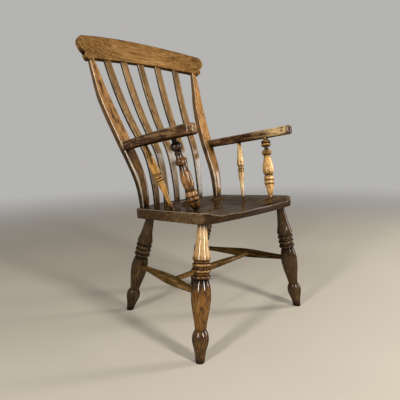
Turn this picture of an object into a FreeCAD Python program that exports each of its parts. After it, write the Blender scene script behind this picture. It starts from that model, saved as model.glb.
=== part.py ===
import FreeCAD, Part
import math
import os

V = FreeCAD.Vector

# A wooden lath-back armchair with turned legs, stretchers and arm supports.
# X runs to the sitter's left, Y to the back, Z up. The origin lies on the
# floor, in the middle of the chair's width and depth. Lengths are in mm.

# Overall places
overall_depth = 639.0
joint_clearance = 0.2
socket_end_gap = 1.0

# Seat plank, which falls to the back
seat_height = 425.0
seat_rake = 3.2
seat_thickness = 35.0
seat_depth = 423.0
seat_width_front = 492.0
seat_width_back = 450.0
seat_back_bow = 52.0
seat_front_bow = 21.0
seat_front_corner = 55.0
seat_back_corner = 14.0
seat_edge_round = 4.0
seat_top_stock = 8.0
dish_depth = 14.0
dish_rim = 56.0
dish_slope = 85.0
dish_back_rim = 62.0

# Legs, set on the seat by insets and splayed down to the floor
front_leg_inset_x = 34.0
front_leg_inset_y = 63.0
front_leg_splay_out = 64.5
front_leg_splay_forward = 38.0
back_leg_inset_x = 66.0
back_leg_inset_y = 50.0
back_leg_splay_out = 20.0
back_leg_splay_back = 130.0
leg_top_radius = 14.0
leg_socket_depth = 24.0

# Leg turning, as heights along the leg and radii
leg_foot_radius = 14.5
leg_ball_height = 66.0
leg_ball_radius = 25.4
leg_neck_height = 95.0
leg_neck_radius = 17.0
leg_body_height = 192.0
leg_body_radius = 30.2
leg_ring_height = 242.0
leg_ring_pitch = 18.2
leg_ring_radius = 28.4
leg_groove_radius = 24.3
leg_groove_width = 6.4
leg_cone_radius = 28.2

# Stretchers
stretcher_height = 200.0
stretcher_end_radius = 9.0
stretcher_swell_radius = 17.0
stretcher_short_of_axis = 7.0
cross_stretcher_place = 0.42
cross_end_radius = 8.0
cross_swell_radius = 12.5
cross_short_of_axis = 5.0

# Comb, a bowed board that leans back on top of the stiles and laths
comb_underside_height = 967.5
comb_lean = 19.0
comb_length = 618.0
comb_height = 94.5
comb_thickness = 22.0
comb_bow_radius = 860.0
comb_top_radius = 860.0
comb_under_radius = 1000.0
comb_edge_round = 3.0
comb_corner = 17.0
comb_corner_fall = 6.5
comb_corner_rise = 4.0
comb_widest_height = 14.0
comb_nick = 23.0
comb_nick_height = 23.0
comb_lobe_drop = 41.0
comb_lobe_height = 9.0
comb_lobe_width = 12.0
comb_lobe_reach = 28.0
comb_lath_line = 0.5

# Stiles, the two shaped posts of the back
stile_inset_x = 31.0
stile_inset_y = 62.0
stile_head_inset = 51.0
stile_foot_tenon_radius = 9.5
stile_foot_tenon_depth = 22.0
stile_head_tenon_radius = 6.0
stile_head_tenon_depth = 30.0
# Path of a stile or lath, as shares of its rise, of its reach back and of its reach outwards
stile_path = [
    (0.00, 0.00, 0.00), (0.17, 0.06, 0.04), (0.33, 0.25, 0.18),
    (0.50, 0.49, 0.38), (0.75, 0.79, 0.74), (1.00, 1.00, 1.00),
]
# Place along the stile, width, depth and corner radius
stile_sections = [
    (0.000, 32.0, 25.0, 10.0),
    (0.060, 37.0, 28.0, 11.0),
    (0.150, 42.0, 30.0, 12.0),
    (0.270, 49.0, 28.0, 11.0),
    (0.400, 50.0, 26.0, 7.0),
    (0.530, 47.5, 25.0, 4.0),
    (0.640, 47.0, 25.0, 4.0),
    (0.740, 43.5, 24.0, 4.0),
    (0.860, 34.0, 21.0, 4.0),
    (0.940, 27.0, 18.5, 4.0),
    (1.000, 21.0, 15.5, 4.0),
]

# Laths, the five bent slats between the stiles
lath_foot_bow = 14.0
lath_foot_spread = 116.0
lath_foot_inset = 22.0
lath_head_spread = 173.0
lath_foot_depth = 20.0
lath_head_depth = 24.0
lath_path = [
    (0.00, 0.00, 0.00), (0.18, 0.05, 0.05), (0.35, 0.17, 0.17),
    (0.52, 0.43, 0.43), (0.75, 0.74, 0.74), (1.00, 1.00, 1.00),
]
# Place along the lath, width, depth and corner radius
lath_sections = [
    (0.00, 22.0, 11.0, 2.0),
    (0.12, 25.5, 11.0, 2.0),
    (0.26, 29.0, 11.0, 2.0),
    (0.40, 31.5, 11.0, 2.0),
    (0.55, 32.5, 11.0, 2.0),
    (0.70, 32.5, 11.0, 2.0),
    (0.85, 31.5, 10.5, 2.0),
    (1.00, 29.5, 10.0, 2.0),
]

# Arms, flat boards that rise to the front
arm_back_height = 656.0
arm_front_rise = 43.0
arm_length = 354.0
arm_front_spread = 504.0
arm_thickness = 32.0
arm_width = 46.0
arm_back_width = 24.0
arm_back_outset = 9.0
arm_bow = 13.0
arm_edge_round = 7.0
arm_housing_depth = 4.0

# Arm supports and the slim spindles behind them
support_inset_x = 46.0
support_inset_y = 96.0
support_place = 0.764
support_inboard = 14.0
support_end_radius = 8.5
support_foot_depth = 22.0
support_head_depth = 16.0
# Turnings of the two supports and of the spindles: straight, bead and smooth
# stretches, each point as a share of the length and a radius over the foot's
support_ball_turning = [
    [(0.018, 0.0)],
    [(0.076, 6.0), (0.127, 9.6)],
    [(0.138, 7.6)],
    [(0.169, 10.8), (0.200, 8.0)],
    [(0.241, 10.8), (0.285, 6.4)],
    [(0.296, 4.9)],
    [(0.349, 8.3), (0.425, 9.8), (0.517, 8.2), (0.572, 5.2), (0.623, 2.9), (0.640, 2.6)],
    [(0.653, 7.6)],
    [(0.689, 8.9), (0.736, 4.0)],
    [(0.781, 2.0)],
    [(0.807, 3.8), (0.827, 1.5)],
    [(0.838, 0.6)],
    [(0.856, 6.0), (0.894, 9.9), (0.934, 6.4), (0.957, 0.0)],
]
support_disc_turning = [
    [(0.018, 0.0)],
    [(0.076, 2.3), (0.132, 5.0), (0.187, 9.0)],
    [(0.200, 7.4)],
    [(0.237, 10.6), (0.267, 8.0)],
    [(0.307, 10.6), (0.346, 6.5)],
    [(0.357, 5.5)],
    [(0.403, 11.2), (0.461, 12.5), (0.522, 11.2), (0.572, 8.7), (0.628, 5.6), (0.684, 4.0)],
    [(0.701, 3.5)],
    [(0.712, 8.0)],
    [(0.741, 10.1), (0.785, 4.5)],
    [(0.807, -1.0)],
    [(0.842, -1.0)],
    [(0.853, 6.5)],
    [(0.877, 9.5), (0.901, 5.5)],
    [(0.928, 9.7), (0.954, 4.5)],
    [(0.966, 0.0)],
]
spindle_inset_x = 35.0
spindle_inset_y = 221.0
spindle_place = 0.385
spindle_end_radius = 5.5
spindle_head_radius = 7.0
spindle_foot_depth = 22.0
spindle_head_depth = 14.0
spindle_turning = [
    [(0.02, 0.0)],
    [(0.12, 0.6), (0.23, 2.1), (0.29, 3.6), (0.345, 5.0), (0.395, 5.8), (0.44, 5.4)],
    [(0.448, 4.4)],
    [(0.468, 7.0), (0.488, 4.6)],
    [(0.508, 7.0), (0.528, 4.6)],
    [(0.550, 4.8)],
    [(0.565, 7.6)],
    [(0.610, 8.4), (0.670, 7.6), (0.730, 6.4), (0.800, 5.3), (0.860, 4.2), (0.930, 2.4), (1.0, 1.5)],
]

# Fasteners
arm_screw_radius = 2.5
arm_screw_head_radius = 4.8
arm_screw_head_depth = 3.0
arm_screw_length = 52.0
arm_screw_slot = 1.0
comb_peg_radius = 2.5
comb_peg_cover = 4.0

# Sides of the chair, by the sitter's right and left
SIDES = {"right": -1, "left": 1}
BIG = 2 * (overall_depth + comb_length)
STILE_TRIM = 3.0
LOFT_STEPS = 3
SOCKET_MOUTH = 6.0
SIDEWAYS = V(1, 0, 0)


def sag(radius, reach):
    """Drop of a round arc at a distance from its middle"""
    return radius - math.sqrt(radius ** 2 - reach ** 2)


def smooth(share):
    """Soft step from 0 to 1"""
    share = min(1.0, max(0.0, share))
    return share * share * (3 - 2 * share)


def axis_placement(start, end):
    """Place a piece made up the Z axis along a line"""
    return FreeCAD.Placement(start, FreeCAD.Rotation(V(0, 0, 1), end - start))


def rod(start, end, radius):
    """Round rod between two points"""
    solid = Part.makeCylinder(radius, (end - start).Length)
    solid.Placement = axis_placement(start, end)
    return solid


def point_towards(start, end, distance):
    """Point at a distance from start on the way to end"""
    return start + (end - start).normalize() * distance


def curve_through(points, start_direction=None, end_direction=None):
    """Smooth edge through points, with set directions at its ends"""
    curve = Part.BSplineCurve()
    if start_direction is None:
        curve.interpolate(points)
    else:
        curve.interpolate(Points=points, InitialTangent=start_direction, FinalTangent=end_direction)
    return curve.toShape()


def turning_edge(points):
    """Straight, bead or smooth stretch of a turning, from heights and radii"""
    path = [V(radius, 0, height) for height, radius in points]
    if len(path) == 2:
        return Part.makeLine(*path)
    if len(path) == 3:
        return Part.Arc(*path).toShape()
    return curve_through(path)


def turned(first, stretches):
    """Turned solid up the Z axis, where each stretch starts at the last point"""
    edges = []
    last = first
    for stretch in stretches:
        edges.append(turning_edge([last] + stretch))
        last = stretch[-1]
    bottom = V(0, 0, first[0])
    top = V(0, 0, last[0])
    edges.insert(0, Part.makeLine(bottom, V(first[1], 0, first[0])))
    edges.append(Part.makeLine(V(last[1], 0, last[0]), top))
    edges.append(Part.makeLine(top, bottom))
    return Part.Face(Part.Wire(edges)).revolve(V(0, 0, 0), V(0, 0, 1), 360)


def ring(height, pitch, radius, groove, groove_width):
    """Half-round ring between two flat half grooves"""
    flat = groove_width / 2
    return [
        [(height + flat, groove)],
        [(height + pitch / 2, radius), (height + pitch - flat, groove)],
        [(height + pitch, groove)],
    ]


# Seat

seat_front_y = -overall_depth / 2
seat_back_y = seat_front_y + seat_depth
seat_corner_y = seat_back_y - seat_back_bow
seat_place = FreeCAD.Placement(V(0, 0, seat_height), FreeCAD.Rotation(V(1, 0, 0), -seat_rake))


def on_seat(x, y):
    """Point on the plank's top face, before the dish is cut"""
    return V(x, y, seat_height - y * math.tan(math.radians(seat_rake)))


def under_seat(x, y):
    """Point on the plank's lower face"""
    drop = seat_thickness / math.cos(math.radians(seat_rake))
    return on_seat(x, y) - V(0, 0, drop)


def seat_outline():
    """Plan of the plank, wider at the front and bowed at the back"""
    front = seat_width_front / 2
    back = seat_width_back / 2
    corner_y = seat_front_y + seat_front_bow
    front_left = V(front, corner_y, 0)
    front_right = V(-front, corner_y, 0)
    back_left = V(back, seat_corner_y, 0)
    back_right = V(-back, seat_corner_y, 0)
    return Part.Wire([
        Part.Arc(front_right, V(0, seat_front_y, 0), front_left).toShape(),
        Part.makeLine(front_left, back_left),
        Part.Arc(back_left, V(0, seat_back_y, 0), back_right).toShape(),
        Part.makeLine(back_right, front_right),
    ])


def dish_drop(x, y):
    """Depth of the dish below the rim, which runs out over the front edge"""
    front_share = smooth((seat_front_y + 85.0 - y) / 70.0)
    half_width = seat_width_back / 2 + (seat_width_front - seat_width_back) / 2 * front_share
    side = (half_width - dish_rim * (1 - front_share) - abs(x)) / dish_slope
    back = (seat_back_y - dish_back_rim - sag_of_back(x) - y) / dish_slope
    ridge = 0.18 * front_share * math.exp(-(x / 45.0) ** 2)
    return dish_depth * (smooth(side) * smooth(back) - ridge)


def sag_of_back(x):
    """How far the plank's bowed back edge has come forward at x"""
    return seat_back_bow * (2 * x / seat_width_back) ** 2


def dish_air():
    """Space above the dished top, in the plank's own frame"""
    columns = 25
    rows = 21
    width = seat_width_front + 40.0
    length = seat_depth + 40.0
    grid = []
    for i in range(columns):
        x = width * (i / (columns - 1) - 0.5)
        line = []
        for j in range(rows):
            y = seat_front_y - 20.0 + length * j / (rows - 1)
            line.append(V(x, y, -dish_drop(x, y)))
        grid.append(line)
    surface = Part.BSplineSurface()
    surface.interpolate(grid)
    return surface.toShape().extrude(V(0, 0, seat_thickness))


def upright_edges(solid, front):
    """Corner edges of the plank at its front or its back"""
    found = []
    for edge in solid.Edges:
        low, high = edge.BoundBox.ZMin, edge.BoundBox.ZMax
        if high - low > 0.9 * seat_thickness and (edge.BoundBox.YMax < 0) == front:
            found.append(edge)
    return found


def rim_edges(solid, on_top):
    """Edges that run round the plank's top or its lower face"""
    found = []
    for edge in solid.Edges:
        box = edge.BoundBox
        if on_top and box.ZMin > -seat_thickness / 2:
            found.append(edge)
        if not on_top and box.ZMax < -0.9 * seat_thickness:
            found.append(edge)
    return found


def seat_blank():
    """Shaped plank without its sockets"""
    face = Part.Face(seat_outline())
    face.translate(V(0, 0, seat_top_stock))
    plank = face.extrude(V(0, 0, -seat_thickness - seat_top_stock))
    plank = plank.makeFillet(seat_front_corner, upright_edges(plank, True))
    plank = plank.makeFillet(seat_back_corner, upright_edges(plank, False))
    plank = plank.cut(dish_air())
    plank = plank.makeFillet(seat_edge_round, rim_edges(plank, True))
    plank = plank.makeFillet(seat_edge_round, rim_edges(plank, False))
    plank.Placement = seat_place
    return plank


# Legs

def leg_ends(front, side):
    """Foot point on the floor and top point under the seat of one leg"""
    if front:
        x = seat_width_front / 2 - front_leg_inset_x
        y = seat_front_y + front_leg_inset_y
        foot = V(side * (x + front_leg_splay_out), y - front_leg_splay_forward, 0)
    else:
        x = seat_width_back / 2 - back_leg_inset_x
        y = seat_back_y - back_leg_inset_y
        foot = V(side * (x + back_leg_splay_out), y + back_leg_splay_back, 0)
    return foot, under_seat(side * x, y)


def leg_axis_end(front, side, extra=0.0):
    """End of a leg's tenon inside the seat"""
    foot, top = leg_ends(front, side)
    return point_towards(foot, top, (top - foot).Length + leg_socket_depth + extra)


def leg_turning(length):
    """Leg turned up the Z axis, with a foot, a body, three rings and a cone"""
    ball = leg_ball_height
    neck = leg_neck_height
    body = leg_body_height
    stretches = [
        [
            (0.36 * ball, leg_foot_radius + 1.8),
            (0.70 * ball, leg_ball_radius - 4.0),
            (ball, leg_ball_radius),
            (ball + 0.62 * (neck - ball), leg_ball_radius - 2.6),
            (neck, leg_neck_radius),
        ],
        [
            (neck + 0.16 * (body - neck), leg_neck_radius + 1.8),
            (neck + 0.62 * (body - neck), leg_body_radius - 3.6),
            (body, leg_body_radius),
            (body + 0.60 * (leg_ring_height - body), leg_body_radius - 3.0),
            (leg_ring_height, leg_body_radius - 8.6),
        ],
    ]
    top = leg_ring_height
    for _ in range(3):
        stretches += ring(top, leg_ring_pitch, leg_ring_radius, leg_groove_radius, leg_groove_width)
        top += leg_ring_pitch
    lip = top + leg_groove_width + 1.6
    cone = length - lip
    stretches += [
        [(top + leg_groove_width / 2, leg_groove_radius)],
        [(lip - leg_groove_width / 4, leg_cone_radius - 0.8), (lip, leg_cone_radius)],
        [
            (lip + 0.14 * cone, leg_cone_radius - 3.0),
            (lip + 0.28 * cone, leg_top_radius + 7.6),
            (lip + 0.50 * cone, leg_top_radius + 4.6),
            (lip + 0.76 * cone, leg_top_radius + 1.8),
            (length, leg_top_radius),
        ],
        [(length + leg_socket_depth, leg_top_radius)],
    ]
    return turned((-leg_foot_radius, leg_foot_radius), stretches)


def leg(front, side):
    """One leg, cut level with the floor, without its stretcher socket"""
    foot, top = leg_ends(front, side)
    solid = leg_turning((top - foot).Length)
    solid.Placement = axis_placement(foot, top)
    floor = Part.makeBox(BIG, BIG, BIG, V(-BIG / 2, -BIG / 2, -BIG))
    return solid.cut(floor)


def leg_socket(front, side):
    """Hole in the seat for one leg"""
    foot, top = leg_ends(front, side)
    end = leg_axis_end(front, side, socket_end_gap)
    start = point_towards(top, foot, seat_thickness)
    return rod(start, end, leg_top_radius + joint_clearance)


# Stretchers

def on_leg(front, side, height):
    """Point on a leg's axis at a distance from its foot"""
    foot, top = leg_ends(front, side)
    return point_towards(foot, top, height)


def side_stretcher_ends(side, extra=0.0):
    """Ends of a side stretcher, just short of the leg axes"""
    front = on_leg(True, side, stretcher_height)
    back = on_leg(False, side, stretcher_height)
    short = stretcher_short_of_axis - extra
    return point_towards(front, back, short), point_towards(back, front, short)


def cross_stretcher_ends(extra=0.0):
    """Ends of the cross stretcher, just short of the side stretchers' axes"""
    ends = []
    for side in (-1, 1):
        front, back = side_stretcher_ends(side)
        ends.append(front + (back - front) * cross_stretcher_place)
    short = cross_short_of_axis - extra
    return point_towards(ends[0], ends[1], short), point_towards(ends[1], ends[0], short)


def swelled_rod(start, end, end_radius, swell_radius, place):
    """Turned rod with straight ends, swelled at a place along it"""
    length = (end - start).Length
    straight = 2.5 * end_radius
    swell = place * length
    rise = (end_radius + swell_radius) / 2
    solid = turned((0, end_radius), [
        [(straight, end_radius)],
        [
            ((straight + swell) / 2, rise),
            (swell, swell_radius),
            ((length - straight + swell) / 2, rise),
            (length - straight, end_radius),
        ],
        [(length, end_radius)],
    ])
    solid.Placement = axis_placement(start, end)
    return solid


def side_stretcher(side):
    """Side stretcher without the socket for the cross stretcher"""
    front, back = side_stretcher_ends(side)
    return swelled_rod(front, back, stretcher_end_radius, stretcher_swell_radius, cross_stretcher_place)


def side_stretcher_socket(side):
    """Holes in the legs for a side stretcher"""
    front, back = side_stretcher_ends(side, socket_end_gap)
    return rod(front, back, stretcher_end_radius + joint_clearance)


def cross_stretcher():
    """Stretcher from side to side"""
    start, end = cross_stretcher_ends()
    return swelled_rod(start, end, cross_end_radius, cross_swell_radius, 0.5)


def cross_stretcher_socket():
    """Holes in the side stretchers for the cross stretcher"""
    start, end = cross_stretcher_ends(socket_end_gap)
    return rod(start, end, cross_end_radius + joint_clearance)


# Comb

half_comb = comb_length / 2
comb_back_reach = comb_height * math.sin(math.radians(comb_lean))
comb_half_depth = comb_thickness / 2 * math.cos(math.radians(comb_lean))
comb_y = overall_depth / 2 - comb_back_reach - comb_half_depth
comb_place = FreeCAD.Placement(
    V(0, comb_y, comb_underside_height), FreeCAD.Rotation(V(1, 0, 0), -comb_lean))


def on_comb(x, up=0.0):
    """Point on the line of the laths in the comb, at a height over its underside"""
    level = V(x, -sag(comb_bow_radius, x) - comb_lath_line, up - sag(comb_under_radius, x))
    return comb_place.multVec(level)


def comb_band():
    """Bowed board before its ends and edges are shaped"""
    centre = V(0, -comb_bow_radius, -comb_height)
    outer = Part.makeCylinder(comb_bow_radius + comb_thickness / 2, 3 * comb_height, centre)
    inner = Part.makeCylinder(comb_bow_radius - comb_thickness / 2, 3 * comb_height, centre)
    return outer.cut(inner)


def comb_end(side):
    """Rounded corner, nick and small lobe of one end, from the top down"""
    top_x = half_comb - comb_corner
    nick_x = half_comb - comb_nick
    top = V(side * top_x, 0, comb_height - sag(comb_top_radius, top_x))
    corner = V(side * (half_comb - comb_corner_fall), 0, (top.z + comb_widest_height) / 2 + comb_corner_rise)
    widest = V(side * half_comb, 0, comb_widest_height)
    nick = V(side * nick_x, 0, comb_nick_height - comb_lobe_drop)
    below = V(side * (half_comb - 0.26 * comb_nick), 0, 0.45 * widest.z + 0.55 * nick.z)
    lobe = V(side * (nick_x + 0.2 * comb_lobe_width), 0, comb_lobe_height - comb_lobe_drop)
    lobe_end = V(side * (nick_x - comb_lobe_width), 0, -comb_lobe_drop)
    return [
        Part.Arc(top, corner, widest).toShape(),
        Part.Arc(widest, below, nick).toShape(),
        Part.Arc(nick, lobe, lobe_end).toShape(),
    ], top, lobe_end


def comb_underside(right_end, left_end):
    """Low arch from one end's lobe to the other"""
    arch_reach = half_comb - comb_nick - comb_lobe_reach
    points = [right_end]
    for i in range(9):
        x = arch_reach * (i / 4 - 1)
        points.append(V(x, 0, -sag(comb_under_radius, x)))
    return curve_through(points + [left_end])


def comb_blank():
    """Comb without its mortises"""
    left, left_top, left_lobe = comb_end(1)
    right, right_top, right_lobe = comb_end(-1)
    top = Part.Arc(right_top, V(0, 0, comb_height), left_top).toShape()
    under = comb_underside(right_lobe, left_lobe)
    face = Part.Face(Part.Wire(Part.__sortEdges__([top, under] + left + right)))
    face.translate(V(0, -2 * comb_height, 0))
    board = face.extrude(V(0, 3 * comb_height, 0)).common(comb_band())
    solid = board.Solids[0]
    rounded = [edge for edge in solid.Edges if edge.Length > half_comb]
    solid = solid.makeFillet(comb_edge_round, rounded)
    solid.Placement = comb_place
    return solid


# Stiles and laths

def stile_foot(side):
    """Middle of a stile where it stands on the seat"""
    return on_seat(side * (seat_width_back / 2 - stile_inset_x), seat_back_y - stile_inset_y)


def stile_head(side):
    """Middle of a stile where it meets the comb"""
    return on_comb(side * (half_comb - stile_head_inset))


def bent_line(foot, head, path):
    """Bent centreline of a stile or lath"""
    reach = head - foot
    points = [foot + V(reach.x * out, reach.y * back, reach.z * up) for up, back, out in path]
    plan = V(reach.x, reach.y, 0).normalize()
    lean = math.tan(math.radians(comb_lean))
    return curve_through(points, V(0, 0, 1), plan * lean + V(0, 0, 1))


def rounded_section(centre, wide, deep, width, depth, corner):
    """Rectangle with round corners, on two directions"""
    corner = min(corner, 0.45 * width, 0.45 * depth)
    half_w = width / 2
    half_d = depth / 2
    cut = corner * (1 - math.sqrt(0.5))
    edges = []
    signs = [(1, 1), (-1, 1), (-1, -1), (1, -1)]
    turns = []
    for a, b in signs:
        on_side = centre + wide * (a * half_w) + deep * (b * (half_d - corner))
        on_face = centre + wide * (a * (half_w - corner)) + deep * (b * half_d)
        middle = centre + wide * (a * (half_w - cut)) + deep * (b * (half_d - cut))
        first, last = (on_side, on_face) if a * b > 0 else (on_face, on_side)
        turns.append((first, middle, last))
    for i, (first, middle, last) in enumerate(turns):
        edges.append(Part.Arc(first, middle, last).toShape())
        edges.append(Part.makeLine(last, turns[(i + 1) % 4][0]))
    return Part.Wire(edges)


def section_wire(line, section, extra=0.0):
    """Rounded section of an upright, which faces the front"""
    share, width, depth, corner = section
    place = line.getParameterByLength(share * line.Length)
    deep = SIDEWAYS.cross(line.tangentAt(place)).normalize()
    return rounded_section(line.valueAt(place), SIDEWAYS, deep, width + 2 * extra, depth + 2 * extra,
                           corner + extra)


def end_block(line, section, down, up, extra=0.0):
    """Straight block through an upright's end section, reaching down and up along the line"""
    along = line.tangentAt(line.getParameterByLength(section[0] * line.Length))
    face = Part.Face(section_wire(line, section, extra))
    face.translate(along * -down)
    return face.extrude(along * (down + up))


def closer_sections(sections):
    """Sections with more of them in between, so that the loft keeps to its line"""
    rows = []
    for first, last in zip(sections, sections[1:]):
        for step in range(LOFT_STEPS):
            share = step / LOFT_STEPS
            rows.append([a + (b - a) * share for a, b in zip(first, last)])
    return rows + [sections[-1]]


def shaped_upright(line, sections, down, up):
    """Upright lofted through its sections, with straight ends"""
    wires = [section_wire(line, section) for section in closer_sections(sections)]
    body = Part.makeLoft(wires, True, False)
    foot = end_block(line, sections[0], down, 0)
    head = end_block(line, sections[-1], 0, up)
    return body.fuse([foot, head]).removeSplitter()


def stile_line(side):
    """Centreline of a stile"""
    return bent_line(stile_foot(side), stile_head(side), stile_path)


def stile_tenons(side, extra=0.0, end_gap=0.0):
    """Round tenons at a stile's foot and head"""
    foot = stile_foot(side)
    head = stile_head(side)
    line = stile_line(side)
    up = line.tangentAt(line.LastParameter)
    low = rod(foot + V(0, 0, STILE_TRIM), foot - V(0, 0, stile_foot_tenon_depth + end_gap),
              stile_foot_tenon_radius + extra)
    high = rod(head - up * STILE_TRIM, head + up * (stile_head_tenon_depth + end_gap),
               stile_head_tenon_radius + extra)
    return low, high


def stile(side, comb):
    """Stile trimmed to the seat and the comb, with its tenons"""
    ground = Part.makeBox(BIG, BIG, BIG, V(-BIG / 2, -BIG / 2, -BIG))
    ground.Placement = seat_place.multiply(ground.Placement)
    body = shaped_upright(stile_line(side), stile_sections, STILE_TRIM, 2 * STILE_TRIM)
    low, high = stile_tenons(side)
    return body.cut(ground).cut(comb).fuse([low, high]).removeSplitter()


def lath_points(number):
    """Foot on the seat and head at the comb of one lath, numbered from the right"""
    share = (number - 3) / 2
    foot_y = seat_back_y - lath_foot_inset - lath_foot_bow * share ** 2
    return on_seat(lath_foot_spread * share, foot_y), on_comb(lath_head_spread * share)


def lath_line(number):
    """Centreline of a lath"""
    foot, head = lath_points(number)
    return bent_line(foot, head, lath_path)


def lath(number):
    """Bent lath with its ends"""
    return shaped_upright(lath_line(number), lath_sections, lath_foot_depth, lath_head_depth)


def lath_sockets(number):
    """Spaces for a lath's ends in the seat and in the comb"""
    line = lath_line(number)
    low = end_block(line, lath_sections[0], lath_foot_depth + socket_end_gap, SOCKET_MOUTH, joint_clearance)
    high = end_block(line, lath_sections[-1], SOCKET_MOUTH, lath_head_depth + socket_end_gap, joint_clearance)
    return low, high


# Arms

arm_rise_angle = math.degrees(math.atan(arm_front_rise / arm_length))


def at_height(line, height):
    """Place on a rising line at a height, found by halving"""
    low = line.FirstParameter
    high = line.LastParameter
    for _ in range(40):
        middle = (low + high) / 2
        if line.valueAt(middle).z < height:
            low = middle
        else:
            high = middle
    return low


def stile_at_arm(side):
    """Stile's middle and forward face direction at the arm"""
    line = stile_line(side)
    place = at_height(line, arm_back_height - arm_thickness / 2)
    return line.valueAt(place), SIDEWAYS.cross(line.tangentAt(place)).normalize()


def stile_depth_at(share):
    """Depth of a stile between two of its sections"""
    for first, second in zip(stile_sections, stile_sections[1:]):
        if first[0] <= share <= second[0]:
            part = (share - first[0]) / (second[0] - first[0])
            return first[2] + (second[2] - first[2]) * part
    return stile_sections[-1][2]


def arm_seat_point(side):
    """Point on the stile's front face where the arm meets it"""
    middle, forward = stile_at_arm(side)
    foot = stile_foot(side)
    share = (middle.z - foot.z) / (stile_head(side).z - foot.z)
    return middle + forward * (stile_depth_at(share) / 2)


def arm_place():
    """Frame of the arms' top faces, from their back ends"""
    start = arm_seat_point(1)
    level = V(0, start.y, arm_back_height)
    return FreeCAD.Placement(level, FreeCAD.Rotation(V(1, 0, 0), -arm_rise_angle))


def arm_middle(share):
    """Distance from the chair's middle of an arm's centreline"""
    start = arm_seat_point(1).x + arm_back_outset
    end = arm_front_spread / 2
    return start + (end - start) * share + arm_bow * 4 * share * (1 - share)


def arm_edge(side, outward):
    """Inner or outer edge of an arm in plan, from back to front"""
    points = []
    for share in (-0.08, 0.12, 0.32, 0.58, 0.80, 1.0):
        width = arm_back_width + (arm_width - arm_back_width) * smooth(share / 0.8)
        x = arm_middle(share) + outward * width / 2
        points.append(V(side * x, -share * arm_length, 0))
    return points


def arm_blank(side, grow=0.0):
    """Arm board before it is trimmed to the stile"""
    outer = arm_edge(side, 1)
    inner = arm_edge(side, -1)
    if grow:
        outer = [point + V(side * grow, 0, 0) for point in outer]
        inner = [point - V(side * grow, 0, 0) for point in inner]
    forward = V(0, -1, 0)
    start = (outer[1] - outer[0]).normalize()
    tip = (outer[-1] + inner[-1]) / 2 + forward * ((outer[-1] - inner[-1]).Length / 2)
    face = Part.Face(Part.Wire([
        curve_through(outer, start, forward),
        Part.Arc(outer[-1], tip, inner[-1]).toShape(),
        curve_through(inner, start, forward),
        Part.makeLine(inner[0], outer[0]),
    ]))
    face.translate(V(0, 0, grow))
    return face.extrude(V(0, 0, -arm_thickness - 2 * grow))


def arm(side):
    """Arm board with rounded edges, housed a little into the stile"""
    board = arm_blank(side)
    level = [edge for edge in board.Edges if edge.BoundBox.ZLength < 1e-3]
    around = [edge for edge in level if edge.Length > 1.2 * arm_back_width]
    board = board.makeFillet(arm_edge_round, around)
    board.Placement = arm_place()
    return board.cut(behind_arm(side, 0.0))


def behind_arm(side, clearance):
    """Space behind the plane where an arm ends inside the stile"""
    forward = stile_at_arm(side)[1]
    start = arm_seat_point(side) - forward * (arm_housing_depth + clearance)
    block = Part.makeBox(BIG, BIG, BIG, V(-BIG / 2, -BIG / 2, 0))
    block.Placement = axis_placement(start, start - forward)
    return block


def arm_housing(side):
    """Shallow notch in the stile's front face for the arm"""
    board = arm_blank(side, joint_clearance)
    board.Placement = arm_place()
    return board.cut(behind_arm(side, joint_clearance))


def on_arm(side, share, inboard=0.0, depth=0.0):
    """Point below the arm's top face, at a share of its length"""
    x = arm_middle(share) - inboard
    return arm_place().multVec(V(side * x, -share * arm_length, -depth))


# Arm supports and spindles

def support_axis(side):
    """Foot and head of a front arm support"""
    foot = on_seat(side * (seat_width_front / 2 - support_inset_x), seat_front_y + support_inset_y)
    return foot, on_arm(side, support_place, support_inboard, arm_thickness)


def spindle_axis(side):
    """Foot and head of a slim arm spindle"""
    foot = on_seat(side * (seat_width_back / 2 - spindle_inset_x), seat_front_y + spindle_inset_y)
    return foot, on_arm(side, spindle_place, 0.0, arm_thickness)


def turned_upright(axis, stretches, foot_radius, head_radius, foot_depth, head_depth):
    """Turned support or spindle on its axis, with its end tenons"""
    foot, head = axis
    length = (head - foot).Length
    scaled = [[(share * length, foot_radius + swell) for share, swell in stretch] for stretch in stretches]
    tenon = [(length + head_depth, head_radius)]
    solid = turned((-foot_depth, foot_radius), scaled + [tenon])
    solid.Placement = axis_placement(foot, head)
    return solid


def support(side):
    """Front arm support; the right one ends in a ball and the left one in two discs"""
    stretches = support_ball_turning if side < 0 else support_disc_turning
    return turned_upright(support_axis(side), stretches, support_end_radius, support_end_radius,
                          support_foot_depth, support_head_depth)


def spindle(side):
    """Slim arm spindle with two fine rings near its middle"""
    return turned_upright(spindle_axis(side), spindle_turning, spindle_end_radius, spindle_head_radius,
                          spindle_foot_depth, spindle_head_depth)


def end_sockets(axis, foot_radius, head_radius, foot_depth, head_depth):
    """Holes in the seat and the arm for one turned upright"""
    foot, head = axis
    low = point_towards(foot, head, -foot_depth - socket_end_gap)
    high = point_towards(head, foot, -head_depth - socket_end_gap)
    middle = (foot + head) / 2
    return (rod(low, middle, foot_radius + joint_clearance),
            rod(middle, high, head_radius + joint_clearance))


# Fasteners

def arm_screw_axis(side):
    """Head and tip of the screw from a stile's back into the arm"""
    middle, forward = stile_at_arm(side)
    ahead = on_arm(side, 0.2, 0.0, arm_thickness / 2)
    direction = (ahead - middle).normalize()
    head = middle - direction * (arm_seat_point(side) - middle).Length
    return head, head + direction * arm_screw_length


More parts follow.
